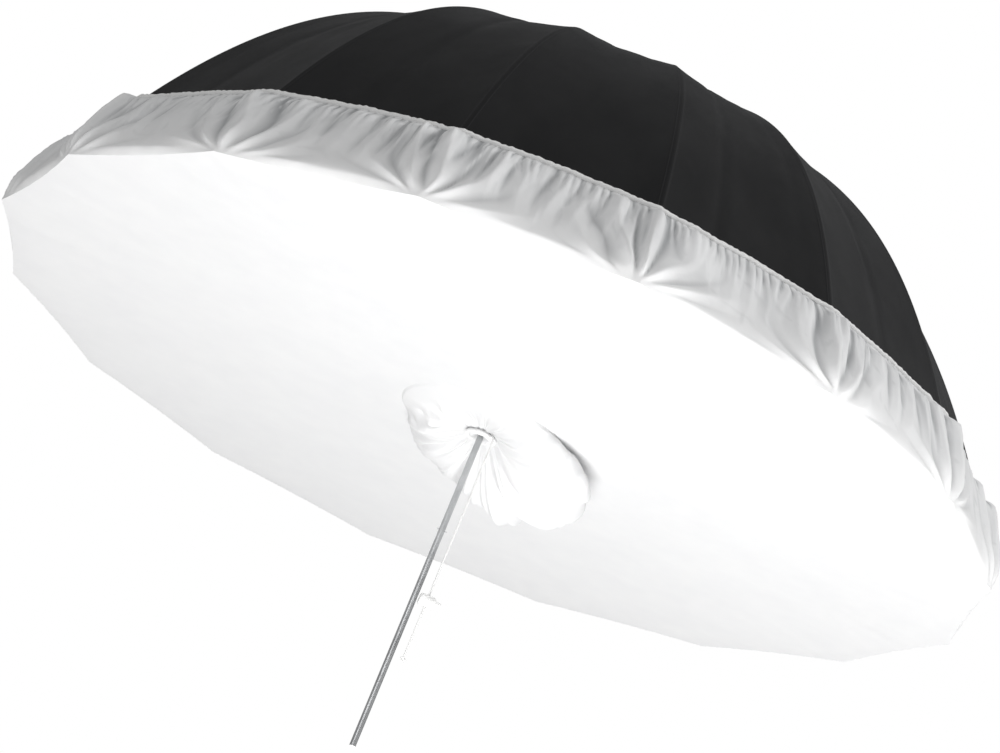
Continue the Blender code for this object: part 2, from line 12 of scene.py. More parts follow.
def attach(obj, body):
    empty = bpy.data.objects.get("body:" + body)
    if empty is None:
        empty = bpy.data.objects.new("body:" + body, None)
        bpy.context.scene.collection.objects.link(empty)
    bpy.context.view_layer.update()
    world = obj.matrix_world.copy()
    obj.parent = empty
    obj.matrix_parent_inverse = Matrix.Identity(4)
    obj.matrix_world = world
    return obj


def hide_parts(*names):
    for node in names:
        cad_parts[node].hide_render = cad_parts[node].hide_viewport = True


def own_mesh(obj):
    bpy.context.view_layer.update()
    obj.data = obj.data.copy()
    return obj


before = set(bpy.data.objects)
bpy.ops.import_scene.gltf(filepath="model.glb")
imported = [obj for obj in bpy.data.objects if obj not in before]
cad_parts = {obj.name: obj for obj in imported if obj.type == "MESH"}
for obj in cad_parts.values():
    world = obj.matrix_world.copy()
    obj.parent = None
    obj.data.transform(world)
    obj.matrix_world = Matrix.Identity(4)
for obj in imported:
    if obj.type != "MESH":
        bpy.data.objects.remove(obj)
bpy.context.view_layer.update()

# ---- dimensions, as in the CAD --------------------------------------------------------
RIBS = 16
HALF_GORE = math.pi / RIBS
RIM_RADIUS = 0.650
RIM_Z = 0.300
DOME_DEPTH = 0.448
DOME_POWER = 3.09
CANOPY_HOLE = 0.0048
CANOPY_TOP = 0.030                # the crown patch ends here and the gores start
CANOPY_EDGE = 0.646
LINING_INSET = 0.0013
BAND_EDGES = [CANOPY_TOP, 0.20, 0.36, 0.49, 0.58, CANOPY_EDGE]
BAND_ROWS = [12, 16, 16, 14, 12]
SEAM_LINE = 0.0032                # from a seam's middle to its stitching, and the stitches' length

COVER_CORNER = 0.6513
COVER_FACE_Z = 0.295
HEM_RADIUS = 0.598
HEM_TUBE = 0.0028
SKIRT_ARC = 0.62                  # mean radius of the skirt, for lengths along it
SKIRT_DROP = 0.12                 # from the rim to the hem
CLOTH_OFF = 0.0006                # the skirt's least distance from the canopy

SLEEVE_SIDE = math.radians(40)    # the slack side
# (radius, depth under the face) of the sleeve's wall on its slack side and on its taut side, edge to neck
SLEEVE_SLACK = [(0.110, 0.0014), (0.140, 0.007), (0.164, 0.020), (0.170, 0.040), (0.152, 0.056),
                (0.118, 0.064), (0.078, 0.056), (0.042, 0.032), (0.018, 0.010)]
SLEEVE_TAUT = [(0.110, 0.0014), (0.100, 0.003), (0.088, 0.005), (0.076, 0.007), (0.064, 0.008),
               (0.052, 0.008), (0.040, 0.008), (0.029, 0.009), (0.018, 0.010)]
SLEEVE_CLUMP = math.radians(172)  # where the crumpled clump is
HOLE_RADIUS = SLEEVE_TAUT[0][0]
NECK_RADIUS = SLEEVE_TAUT[-1][0]
FACE_THIN = 0.0006                # depth at which the face and the sleeve's sewn edge meet
FRILL_RADIUS = 0.0056             # where the puckered cloth past the casing ends, round the shaft
CASING_RADIUS = 0.0025
CASING_Z = 0.2799

CORD_RADIUS = 0.00125
CORD_AZIMUTH = math.radians(-70)
CORD_OUT = 0.0340                 # from the axis to the hanging part
CORD_END_Z = -0.030
KNOT_RADIUS = 0.0040
KNOT_CORD = 0.0012
CORD_GAP = 0.0003                 # between the cord's ends and what they meet
# (offset from CORD_OUT, height) down the drawstring
CORD_ROUTE = [(-0.0085, 0.2784), (-0.0045, 0.2774), (-0.0016, 0.2752), (-0.0003, 0.2716), (0.0002, 0.2650),
              (0.0002, 0.2540), (-0.0002, 0.2420), (-0.0004, 0.2300), (-0.0002, 0.2180), (0.0004, 0.2060),
              (0.0009, 0.1940), (0.0011, 0.1820), (0.0009, 0.1680), (0.0006, 0.1520), (0.0003, 0.1350),
              (0.0001, 0.1180), (0.0, 0.1000), (0.0, 0.0800), (0.0, 0.0660), (0.0, 0.0520),
              (0.0, 0.0380), (0.0, 0.0200), (0.0, 0.0020)]

# ---- camera ---------------------------------------------------------------------------
def add_camera():
    """The main view: from below the mouth, with the camera rolled."""
    aim = Vector((-0.009, -0.018, 0.356))
    distance = 4.348
    azimuth = math.radians(81.864)
    elevation = math.radians(19.24)
    roll = math.radians(22.562)
    forward = Vector((math.cos(elevation) * math.cos(azimuth), math.cos(elevation) * math.sin(azimuth),
                      math.sin(elevation)))
    data = bpy.data.cameras.new("camera")
    data.lens = 126.853
    data.sensor_width = 36
    data.clip_end = 60
    camera = bpy.data.objects.new("camera", data)
    bpy.context.collection.objects.link(camera)
    camera.location = aim - forward * distance
    camera.rotation_mode = "QUATERNION"
    camera.rotation_quaternion = forward.to_track_quat("-Z", "Y") @ Quaternion((0, 0, 1), roll)
    bpy.context.scene.camera = camera


# ---- material helpers -----------------------------------------------------------------
class Nodes:
    """A new material and short ways to add nodes to it."""

    def __init__(self, name, colour, roughness, metallic=0.0, specular=0.5):
        self.material = bpy.data.materials.new(name)
        self.material.use_nodes = True
        self.tree = self.material.node_tree
        self.shader = self.tree.nodes["Principled BSDF"]
        self.output = self.tree.nodes["Material Output"]
        self.shader.inputs["Base Color"].default_value = (*colour, 1)
        self.shader.inputs["Roughness"].default_value = roughness
        self.shader.inputs["Metallic"].default_value = metallic
        self.shader.inputs["Specular IOR Level"].default_value = specular

    def add(self, kind, inputs=None, **settings):
        node = self.tree.nodes.new(kind)
        for key, value in settings.items():
            setattr(node, key, value)
        for key, value in (inputs or {}).items():
            if isinstance(value, bpy.types.NodeSocket):
                self.tree.links.new(value, node.inputs[key])
            else:
                node.inputs[key].default_value = value
        return node

    def link(self, source, target):
        self.tree.links.new(source, target)

    def math(self, operation, a, b=0.0):
        return self.add("ShaderNodeMath", {0: a, 1: b}, operation=operation).outputs[0]

    def place(self, scale=(1, 1, 1)):
        """The piece's own coordinates in metres, stretched by scale."""
        source = self.add("ShaderNodeTexCoord").outputs["Object"]
        return self.add("ShaderNodeMapping", {"Vector": source, "Scale": scale}).outputs[0]

    def noise(self, vector, scale, detail=4.0, rough=0.55):
        return self.add("ShaderNodeTexNoise", {"Vector": vector, "Scale": scale, "Detail": detail,
                                               "Roughness": rough}).outputs["Fac"]

    def span(self, value, low, high, from_low=0.0, from_high=1.0):
        """The value's range from_low to from_high taken to low to high."""
        return self.add("ShaderNodeMapRange", {"Value": value, "From Min": from_low, "From Max": from_high,
                                               "To Min": low, "To Max": high}).outputs[0]

    def mix(self, factor, a, b):
        node = self.add("ShaderNodeMix", {"Factor": factor}, data_type="RGBA")
        for key, value in ((6, a), (7, b)):
            if isinstance(value, bpy.types.NodeSocket):
                self.link(value, node.inputs[key])
            else:
                node.inputs[key].default_value = (*value, 1)
        return node.outputs[2]

    def bump(self, height, distance, strength=1.0):
        node = self.add("ShaderNodeBump", {"Height": height, "Distance": distance, "Strength": strength})
        self.link(node.outputs["Normal"], self.shader.inputs["Normal"])

    def weave(self, uv, period):
        """Height of a plain weave with that many metres between its threads, from UVs in metres."""
        turns = 2 * math.pi / period
        split = self.add("ShaderNodeSeparateXYZ", {"Vector": uv})
        warp = self.math("SINE", self.math("MULTIPLY", split.outputs[0], turns))
        weft = self.math("SINE", self.math("MULTIPLY", split.outputs[1], turns))
        return self.span(self.math("MULTIPLY", warp, weft), 0, 1, -1, 1)


def black_shell():
    """Black coated nylon with double-stitched seams; UVs are metres across and along from the rib."""
    n = Nodes("black_nylon_shell", (0.009, 0.009, 0.010), 0.62, specular=0.16)
    uv = n.add("ShaderNodeUVMap", uv_map="cloth").outputs[0]
    split = n.add("ShaderNodeSeparateXYZ", {"Vector": uv})
    across = n.math("ABSOLUTE", split.outputs[0])
    near_line = n.math("LESS_THAN", n.math("ABSOLUTE", n.math("SUBTRACT", across, SEAM_LINE)), 0.0004)
    dash = n.math("LESS_THAN", n.math("FRACT", n.math("DIVIDE", split.outputs[1], SEAM_LINE)), 0.68)
    stitch = n.math("MULTIPLY", near_line, dash)
    seam = n.span(across, 1, 0, 0.0042, 0.0052)
    mottle = n.noise(n.place((3, 3, 1.2)), 5.0, 5)
    cloth = n.mix(n.span(mottle, 0, 1, 0.35, 0.7), (0.0065, 0.0065, 0.0070), (0.0110, 0.0110, 0.0115))
    dark = n.mix(n.math("MULTIPLY", seam, 0.45), cloth, (0.004, 0.004, 0.0045))
    n.link(n.mix(n.math("MULTIPLY", stitch, 0.8), dark, (0.030, 0.030, 0.032)), n.shader.inputs["Base Color"])
    n.link(n.span(n.noise(n.place((2, 2, 1)), 9.0, 3), 0.52, 0.70), n.shader.inputs["Roughness"])
    n.shader.inputs["Sheen Weight"].default_value = 0.02
    n.shader.inputs["Sheen Roughness"].default_value = 0.45
    n.shader.inputs["Sheen Tint"].default_value = (0.8, 0.85, 0.95, 1)
    height = n.math("ADD", n.math("MULTIPLY", n.weave(uv, 0.0009), 0.35), n.math("MULTIPLY", seam, 1.0))
    height = n.math("ADD", height, n.math("MULTIPLY", stitch, 0.6))
    n.bump(height, 0.00035, 0.6)
    return n.material


def silver_lining():
    """Silver-coated reflective cloth."""
    n = Nodes("silver_lining", (0.66, 0.67, 0.68), 0.36, metallic=0.85)
    uv = n.add("ShaderNodeUVMap", uv_map="cloth").outputs[0]
    crinkle = n.noise(n.place((6, 6, 4)), 14.0, 6)
    n.link(n.mix(n.span(crinkle, 0, 1, 0.3, 0.75), (0.58, 0.59, 0.60), (0.74, 0.75, 0.76)),
           n.shader.inputs["Base Color"])
    n.link(n.span(crinkle, 0.28, 0.46), n.shader.inputs["Roughness"])
    split = n.add("ShaderNodeSeparateXYZ", {"Vector": uv})
    seam = n.span(n.math("ABSOLUTE", split.outputs[0]), 1, 0, 0.0040, 0.0050)
    height = n.math("ADD", n.math("MULTIPLY", n.weave(uv, 0.0011), 0.3), n.math("MULTIPLY", seam, 1.0))
    n.bump(n.math("ADD", height, n.math("MULTIPLY", crinkle, 1.2)), 0.0004, 0.6)
    return n.material


def diffuser_cloth(name, colour, shade, through, painted_fold_strength=0.0):
    """Thin white stretch cloth: through is the share of light that it lets pass; the last argument sets how
    strongly shade is painted into the folds and a highlight onto their crests, where the mesh has values for
    them."""
    n = Nodes(name, colour, 0.62, specular=0.25)
    uv = n.add("ShaderNodeUVMap", uv_map="cloth").outputs[0]
    mottle = n.noise(n.place(), 22.0, 5)
    tone = n.mix(n.span(mottle, 0, 1, 0.3, 0.72), shade, colour)
    if painted_fold_strength:
        split = n.add("ShaderNodeSeparateXYZ", {"Vector": uv})
        from_hem = n.span(split.outputs[1], 0, 1, 0.030, 0.115)
        # the skirt's colour turns lighter towards the rim
        tone = n.mix(from_hem, tone, (0.93, 0.93, 0.93))
        # the mesh's values for painted shade in the creases and painted highlight on the crests
        painted_fold_light = n.add("ShaderNodeAttribute", attribute_name="painted_fold_light").outputs["Fac"]
        near_hem = n.span(from_hem, painted_fold_strength, 0.12 * painted_fold_strength)
        # painted shade: the creases of the folds darkened, most near the hem
        tone = n.mix(n.math("MULTIPLY", n.span(painted_fold_light, 1, 0, 0.08, 0.44), near_hem), tone, (0.33, 0.34, 0.35))
        # painted highlight: the crests of the folds lightened, most near the hem
        tone = n.mix(n.math("MULTIPLY", n.span(painted_fold_light, 0, 1, 0.62, 0.95), near_hem), tone, (0.93, 0.93, 0.93))
    n.link(tone, n.shader.inputs["Base Color"])
    n.link(n.span(n.noise(n.place(), 60.0, 3), 0.52, 0.70), n.shader.inputs["Roughness"])
    n.shader.inputs["Sheen Weight"].default_value = 0.15
    n.shader.inputs["Sheen Roughness"].default_value = 0.4
    height = n.math("ADD", n.math("MULTIPLY", n.weave(uv, 0.0007), 0.25), n.math("MULTIPLY", mottle, 0.9))
    n.bump(height, 0.0003, 0.5)
    glow = n.add("ShaderNodeBsdfTranslucent", {"Color": tone})
    mixed = n.add("ShaderNodeMixShader", {0: through, 1: n.shader.outputs[0], 2: glow.outputs[0]})
    n.link(mixed.outputs[0], n.output.inputs["Surface"])
    return n.material


def braid(name, colour, shade, pitch):
    """Braided cord or shirred elastic, its strands crossing along the UVs in metres."""
    n = Nodes(name, colour, 0.7, specular=0.3)
    uv = n.add("ShaderNodeUVMap", uv_map="cloth").outputs[0]
    split = n.add("ShaderNodeSeparateXYZ", {"Vector": uv})
    turns = 2 * math.pi / pitch
    one = n.math("SINE", n.math("MULTIPLY", n.math("ADD", split.outputs[0], split.outputs[1]), turns))
    two = n.math("SINE", n.math("MULTIPLY", n.math("SUBTRACT", split.outputs[0], split.outputs[1]), turns))
    strand = n.span(n.math("MAXIMUM", one, two), 0, 1, -1, 1)
    n.link(n.mix(strand, shade, colour), n.shader.inputs["Base Color"])
    n.shader.inputs["Sheen Weight"].default_value = 0.2
    n.bump(strand, 0.0003, 0.7)
    return n.material


def cord_braid():
    """White braided cord; a curve has no cloth UVs, so its strands follow its own coordinates."""
    n = Nodes("white_braided_cord", (0.90, 0.90, 0.89), 0.65, specular=0.3)
    wave = n.add("ShaderNodeTexWave", {"Vector": n.place(), "Scale": 260.0, "Distortion": 1.5},
                 bands_direction="DIAGONAL").outputs["Fac"]
    other = n.add("ShaderNodeTexWave", {"Vector": n.place((-1, 1, 1)), "Scale": 260.0, "Distortion": 1.5},
                  bands_direction="DIAGONAL").outputs["Fac"]
    strand = n.math("MAXIMUM", wave, other)
    n.link(n.mix(strand, (0.70, 0.70, 0.69), (0.93, 0.93, 0.92)), n.shader.inputs["Base Color"])
    n.shader.inputs["Sheen Weight"].default_value = 0.2
    n.bump(strand, 0.0002, 0.6)
    return n.material


def brushed_steel(name, colour, low, high, along=(400, 400, 6)):
    """Drawn steel with fine lines along one axis and a little wear."""
    n = Nodes(name, colour, low, metallic=1.0)
    lines = n.noise(n.place(along), 3.0, 5, 0.7)
    wear = n.noise(n.place((30, 30, 12)), 2.5, 5)
    dull = tuple(0.72 * c for c in colour)
    n.link(n.mix(n.span(wear, 0, 1, 0.42, 0.68), colour, dull), n.shader.inputs["Base Color"])
    n.link(n.span(n.math("ADD", n.math("MULTIPLY", lines, 0.6), n.math("MULTIPLY", wear, 0.4)), low, high),
           n.shader.inputs["Roughness"])
    n.bump(lines, 0.00004, 0.5)
    return n.material


def moulded_plastic(name, colour, roughness):
    """Injection-moulded plastic with a fine spark-eroded grain."""
    n = Nodes(name, colour, roughness, specular=0.45)
    grain = n.noise(n.place(), 900.0, 2)
    cloud = n.noise(n.place(), 60.0, 4)
    light = tuple(min(1.0, 1.35 * c + 0.002) for c in colour)
    n.link(n.mix(n.span(cloud, 0, 1, 0.35, 0.75), colour, light), n.shader.inputs["Base Color"])
    n.link(n.span(cloud, roughness - 0.07, roughness + 0.09), n.shader.inputs["Roughness"])
    n.bump(grain, 0.00006, 0.4)
    return n.material


# ---- mesh helpers ---------------------------------------------------------------------
def link_object(name, mesh, *materials):
    piece = bpy.data.objects.new(name, mesh)
    bpy.context.collection.objects.link(piece)
    for material in materials:
        mesh.materials.append(material)
    return piece


def set_uv(mesh, corners):
    """Cloth UVs in metres: corners maps each face corner's own place to (across, along)."""
    layer = mesh.uv_layers.new(name="cloth")
    layer.data.foreach_set("uv", np.asarray(corners, float).ravel())


def grid_faces(rows, columns, wrap=False):
    """Faces of a grid with the given points, and each corner's (row, column) before wrapping."""
    row, column = np.meshgrid(np.arange(rows - 1), np.arange(columns if wrap else columns - 1), indexing="ij")
    corner_rows = np.stack([row, row + 1, row + 1, row], -1).reshape(-1, 4)
    corner_columns = np.stack([column, column, column + 1, column + 1], -1).reshape(-1, 4)
    faces = corner_rows * columns + corner_columns % columns
    return faces, corner_rows, corner_columns


def grid_mesh(name, points, across, along):
    """A smooth sheet through rings of points, with UVs from across (columns) and along (rows)."""
    rows, columns = points.shape[:2]
    faces, corner_rows, corner_columns = grid_faces(rows, columns, wrap=True)
    mesh = bpy.data.meshes.new(name)
    mesh.from_pydata(points.reshape(-1, 3).tolist(), [], faces.tolist())
    mesh.shade_smooth()
    set_uv(mesh, np.stack([across[corner_columns], along[corner_rows]], -1))
    return mesh


def noise_at(x, y, z=0.0):
    """Smooth noise from -1 to 1 over arrays of coordinates."""
    x, y = np.broadcast_arrays(np.asarray(x, float), np.asarray(y, float))
    flat = [noise.noise(Vector((a, b, z))) for a, b in zip(x.ravel(), y.ravel())]
    return np.array(flat).reshape(x.shape)


def ridged(values, sharp):
    """Noise turned into narrow crests from 0 to 1."""
    return np.clip(1 - sharp * np.abs(values), 0, 1)


def smooth_step(low, high, x):
    t = np.clip((x - low) / (high - low), 0, 1)
    return t * t * (3 - 2 * t)


def tube_mesh(name, centres, radii, sides):
    """A closed ring of tube through the centres, with a radius for each; UVs in metres along and round it."""
    tangent = np.roll(centres, -1, axis=0) - np.roll(centres, 1, axis=0)
    tangent /= np.linalg.norm(tangent, axis=1)[:, None]
    side = np.cross(tangent, (0, 0, 1.0))
    side /= np.linalg.norm(side, axis=1)[:, None]
    up = np.cross(side, tangent)
    angles = 2 * math.pi * np.arange(sides) / sides
    ring = np.cos(angles)[None, :, None] * side[:, None] + np.sin(angles)[None, :, None] * up[:, None]
    points = centres[:, None] + ring * radii[:, None, None]
    steps = np.linalg.norm(np.diff(centres, axis=0, append=centres[:1]), axis=1)
    around_u = np.append(angles, 2 * math.pi) * float(np.mean(radii))
    # rows run round the tube and columns along it, so that the long way wraps
    return grid_mesh(name, np.concatenate([points, points[:, :1]], 1).transpose(1, 0, 2),
                     np.append(0, np.cumsum(steps)), around_u)


# ---- the dome -------------------------------------------------------------------------
def dome_profile(radius, inset=0.0):
    """The dome's profile as (radius, height) arrays, moved inwards along its normal."""
    radius = np.asarray(radius, float)
    height = RIM_Z + DOME_DEPTH * (1 - (radius / RIM_RADIUS) ** DOME_POWER)
    slope = DOME_DEPTH * DOME_POWER * radius ** (DOME_POWER - 1) / RIM_RADIUS ** DOME_POWER
    length = np.hypot(1.0, slope)
    return radius - inset * slope / length, height - inset / length


def chord(azimuth):
    """How much nearer the axis a flat gore is than the circle through the ribs, and its place from 0 at
    a rib to 1 at the gore's middle."""
    from_rib = np.abs((azimuth + HALF_GORE) % (2 * HALF_GORE) - HALF_GORE)
    return math.cos(HALF_GORE) / np.cos(HALF_GORE - from_rib), from_rib / HALF_GORE


def on_dome(azimuth, radius, inset):
    """Points on the gored dome, inset inwards along its normal."""
    scale, _ = chord(azimuth)
    out, height = dome_profile(radius, inset)
    return np.stack([out * scale * np.cos(azimuth), out * scale * np.sin(azimuth), height], -1)


def canopy_inset(azimuth, radius):
    """How far the stretched gores sag inwards, with soft lengthwise folds and puckers by the seams."""
    _, share = chord(azimuth)
    gore = np.floor(azimuth / (2 * HALF_GORE))
    belly = (1 - (1 - share) ** 2) * 0.0045 * np.sin(np.clip(radius / 0.60, 0, 1) * math.pi / 2)
    width = azimuth * 0.5
    folds = 0.5 + 0.5 * noise_at(width * 34 + gore * 5.3, radius * 2.6, 1.7)
    long_fold = ridged(noise_at(width * 11 + gore * 3.1, radius * 1.1, 4.2), 5.0)
    near = np.exp(-share * 7) * share * 12
    pucker = 0.5 + 0.5 * noise_at(width * 60, radius * 70, 8.8)
    return belly + share * (0.0016 * folds + 0.0016 * long_fold) + 0.0006 * near * pucker


def canopy_points(azimuth, radius, inset):
    return on_dome(azimuth, radius, inset + canopy_inset(azimuth, radius))


def dome_radii(start, end, rows):
    """Radii from start to end, closer together where the dome is steep."""
    return RIM_RADIUS * np.sin(np.linspace(math.asin(start / RIM_RADIUS), math.asin(end / RIM_RADIUS), rows))


def shell_normals(azimuths, radii):
    """Normals of the whole canopy at a grid, so that pieces cut from it shade as one sheet."""
    step = 0.0004
    turn = step / 0.3
    east = canopy_points(azimuths + turn, radii, 0.0) - canopy_points(azimuths - turn, radii, 0.0)
    south = canopy_points(azimuths, radii + step, 0.0) - canopy_points(azimuths, radii - step, 0.0)
    normals = np.cross(south, east)
    return normals / np.linalg.norm(normals, axis=-1)[..., None]


def canopy_piece(name, azimuths, radii, materials):
    """A closed two-layer panel of the canopy: black outside, silver inside."""
    grid_azimuth, grid_radius = np.meshgrid(azimuths, radii)
    outer = canopy_points(grid_azimuth, grid_radius, 0.0)
    inner = canopy_points(grid_azimuth, grid_radius, LINING_INSET)
    rows, columns = outer.shape[:2]
    faces, corner_rows, corner_columns = grid_faces(rows, columns)
    count = rows * columns
    index = np.arange(count).reshape(rows, columns)
    border = np.concatenate([index[0, :], index[1:, -1], index[-1, -2::-1], index[-2:0:-1, 0]])
    after = np.roll(border, -1)
    strip = np.stack([border, after, after + count, border + count], -1)
    mesh = bpy.data.meshes.new(name)
    mesh.from_pydata(np.concatenate([outer.reshape(-1, 3), inner.reshape(-1, 3)]).tolist(), [],
                     np.concatenate([faces, faces[:, ::-1] + count, strip]).tolist())
    mesh.shade_smooth()
    middle = azimuths[len(azimuths) // 2]
    across = (azimuths - middle)[None, :] * radii[:, None]
    profile = np.stack(dome_profile(radii), -1)
    along = np.append(0, np.cumsum(np.linalg.norm(np.diff(profile, axis=0), axis=1))) + radii[0]
    place = np.stack([across, np.broadcast_to(along[:, None], across.shape)], -1).reshape(-1, 2)
    flat = np.concatenate([faces, faces[:, ::-1], strip % count]).ravel()
    set_uv(mesh, place[flat])
    mesh.polygons.foreach_set("material_index", [0] * len(faces) + [1] * len(faces) + [0] * len(strip))
    outside = shell_normals(grid_azimuth, grid_radius).reshape(-1, 3)
    mesh.normals_split_custom_set_from_vertices(np.concatenate([outside, -outside]).tolist())
    piece = link_object(name, mesh, *materials)
    area = float(np.linalg.norm(np.cross(outer[1:, :-1] - outer[:-1, :-1], outer[:-1, 1:] - outer[:-1, :-1]),
                                axis=-1).sum())
    width = 2 * radii[-1] * math.sin(float(azimuths[-1] - azimuths[0]) / 2)
    return piece, width, float(along[-1] - along[0]), area


def build_canopy(materials):
    """Panels centred on the ribs, in bands, each riding on its rib."""
    spread = np.linspace(-1, 1, 33)
    offsets = np.sign(spread) * np.abs(spread) ** 1.35 * HALF_GORE
    for rib in range(RIBS):
        azimuth = 2 * math.pi * rib / RIBS
        rib_name = f"rib_{rib + 1:02d}"
        for band, rows in enumerate(BAND_ROWS):
            radii = dome_radii(BAND_EDGES[band], BAND_EDGES[band + 1], rows)
            name = f"canopy_{rib + 1:02d}_{band + 1}"
            piece, width, length, area = canopy_piece(name, azimuth + offsets, radii, materials)
            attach(piece, rib_name)
            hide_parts("canopy_outer", "canopy_lining")
            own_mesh(piece)
    azimuths = np.linspace(0, 2 * math.pi, RIBS * 8 + 1)
    top = canopy_piece("canopy_top", azimuths, np.linspace(CANOPY_HOLE, CANOPY_TOP, 6), materials)[0]
    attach(top, "shaft_and_canopy")


# ---- diffuser cover -------------------------------------------------------------------
def rim_point(azimuth):
    """The cover's rim: corners at the rib tips, drawn in a little between them."""
    scale, share = chord(azimuth)
    drawn_in = 0.0055 * (1 - (1 - share) ** 2) + 0.0012 * share * noise_at(azimuth * 30, 0.0, 2.0)
    radius = COVER_CORNER * scale - drawn_in
    return np.stack([radius * np.cos(azimuth), radius * np.sin(azimuth),
                     np.full_like(radius, COVER_FACE_Z - 0.0003)], -1)


def build_face(material):
    """The taut face, from the sleeve's hole to the rim."""
    columns = RIBS * 30
    azimuth = np.arange(columns) * 2 * math.pi / columns
    rim = rim_point(azimuth)
    hole = np.stack([HOLE_RADIUS * np.cos(azimuth), HOLE_RADIUS * np.sin(azimuth),
                     np.full(columns, COVER_FACE_Z - FACE_THIN)], -1)
    rows = 46
    share = np.linspace(0, 1, rows) ** 0.8
    points = hole[None] + (rim - hole)[None] * share[:, None, None]
    tension = noise_at(azimuth[None] * 24, share[:, None] * 2.0, 6.0)
    edge = smooth_step(0.55, 0.97, share)[:, None] * (1 - smooth_step(0.97, 1.0, share))[:, None]
    points[..., 2] -= 0.0016 * edge * (0.5 + 0.5 * tension)
    along = np.linspace(HOLE_RADIUS, COVER_CORNER, rows)
    mesh = grid_mesh("cover_face_cloth", points, np.append(azimuth, 2 * math.pi) * 0.35, along)
    mesh.flip_normals()
    piece = link_object("cover_face_cloth", mesh, material)
    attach(piece, "cover")
    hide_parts("cover_face")


def zigzag(x):
    """A wave from 0 to 1 with flat sides and sharp creases, as folded cloth has."""
    return np.abs(2 * (x - np.floor(x + 0.5)))


def skirt_lift(azimuth, share):
    """How far the gathered skirt stands off the canopy, and how much light is painted into its colour: 0 is
    painted shade in the bottom of a fold, 0.5 flat cloth and 1 a painted highlight on a crest. share is 0 at
    the rim, 1 at the hem."""
    _, place = chord(azimuth)
    run = azimuth * SKIRT_ARC
    gore = np.round(azimuth / (2 * HALF_GORE))
    beside = (azimuth - gore * 2 * HALF_GORE) * 0.64
    up = share * SKIRT_DROP
    drift = noise_at(run * 7, up * 6.0, 1.1)
    angle = np.arctan2(beside + 0.010 * np.sin(gore * 2.3), up + 0.006)
    fan = zigzag(angle * 2.1 + 0.55 * noise_at(angle * 1.5 + gore * 4.7, up * 14.0, 3.3) + gore * 0.37)
    fan_weight = np.exp(-(beside / 0.085) ** 2) * smooth_step(0.02, 0.45, share)
    gather = zigzag(run * 30 + 1.1 * noise_at(run * 13, up * 10.0, 5.5))
    gather_weight = smooth_step(0.30, 0.85, share) * (0.35 + 0.65 * np.clip(0.5 + drift, 0, 1))
    fine = zigzag(run * 88 + 0.9 * noise_at(run * 40, up * 22.0, 9.1))
    fine_weight = smooth_step(0.68, 0.92, share)
    bag = np.sin(share * math.pi) * (0.5 + 0.5 * drift) * (0.35 + 0.65 * place)
    pucker = smooth_step(0.86, 0.93, share)
    lift = (0.0120 * fan * fan_weight + 0.0075 * gather * gather_weight + 0.0026 * fine * fine_weight
            + 0.0075 * bag)
    # painted shade of stray creases that the mesh doesn't have
    stray = ridged(noise_at(run * 16 + 40, up * 26.0, 8.8), 6.0) * smooth_step(0.15, 0.5, share)
    layers = ((fan, fan_weight), (gather, 0.8 * gather_weight), (fine, 0.5 * fine_weight + 0.5 * pucker))
    # dark is painted shade in the creases of the folds, and bright a painted highlight on their crests
    dark = 0.30 * stray
    bright = np.zeros_like(dark)
    for wave, weight in layers:
        dark = np.maximum(dark, weight * (1 - wave) ** 2.6)
        bright = np.maximum(bright, weight * wave ** 7)
    drawn_in = 1 - 0.88 * smooth_step(0.90, 1.0, share)
    return lift * drawn_in, np.clip(0.5 - 0.5 * dark + 0.5 * bright, 0, 1)


def hem_shift(azimuth):
    """How far the elastic pulls the hem up the dome between the ribs."""
    _, place = chord(azimuth)
    return 0.0026 * place + 0.0004 * noise_at(azimuth * SKIRT_ARC * 50, 0.0, 7.7)


def skirt_points(azimuth, share):
    """Points of the skirt, and how much light is painted into the cloth's colour there."""
    hem = HEM_RADIUS - hem_shift(azimuth)
    radius = RIM_RADIUS * np.sin(math.pi / 2 + (np.arcsin(hem / RIM_RADIUS) - math.pi / 2) * share)
    lift, painted_fold_light = skirt_lift(azimuth, share)
    points = on_dome(azimuth, radius, -(CLOTH_OFF + lift))
    at_rim = (1 - smooth_step(0.0, 0.16, share))[..., None]
    rim = rim_point(azimuth)
    low = on_dome(azimuth, np.full_like(azimuth, RIM_RADIUS), -CLOTH_OFF)
    return points + (rim - low) * at_rim, painted_fold_light


def build_skirt(material):
    """The skirt, which wraps back from the rim over the canopy's edge."""
    columns = RIBS * 112
    azimuth = np.arange(columns) * 2 * math.pi / columns
    share = np.linspace(1, 0, 44)
    grid_azimuth, grid_share = np.meshgrid(azimuth, share)
    points, painted_fold_light = skirt_points(grid_azimuth, grid_share)
    mesh = grid_mesh("cover_skirt_cloth", points, np.append(azimuth, 2 * math.pi) * SKIRT_ARC,
                     (1 - share) * SKIRT_DROP)
    # the painted shade and painted highlight of the folds, kept on the mesh for the cloth's colour
    layer = mesh.attributes.new("painted_fold_light", "FLOAT", "POINT")
    layer.data.foreach_set("value", painted_fold_light.ravel().astype(np.float32))
    piece = link_object("cover_skirt_cloth", mesh, material)
    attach(piece, "cover")
    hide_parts("cover_skirt")


def build_hem(material):
    """The gathered elastic hem, a soft tube that bunches along the skirt's upper edge."""
    columns = RIBS * 60
    azimuth = np.arange(columns) * 2 * math.pi / columns
    edge, _ = skirt_points(azimuth, np.ones_like(azimuth))
    run = azimuth * SKIRT_ARC
    beads = zigzag(run * 95 + 0.8 * noise_at(run * 45, 0.0, 3.9))
    radii = HEM_TUBE * (0.84 + 0.42 * beads)
    out = edge / np.linalg.norm(edge[:, :2], axis=1)[:, None]
    centres = edge + np.stack([out[:, 0] * 0.0005, out[:, 1] * 0.0005, np.full(columns, 0.0006)], -1)
    mesh = tube_mesh("cover_hem_cord", centres, radii, 10)
    piece = link_object("cover_hem_cord", mesh, material)
    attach(piece, "cover")
    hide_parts("cover_hem")


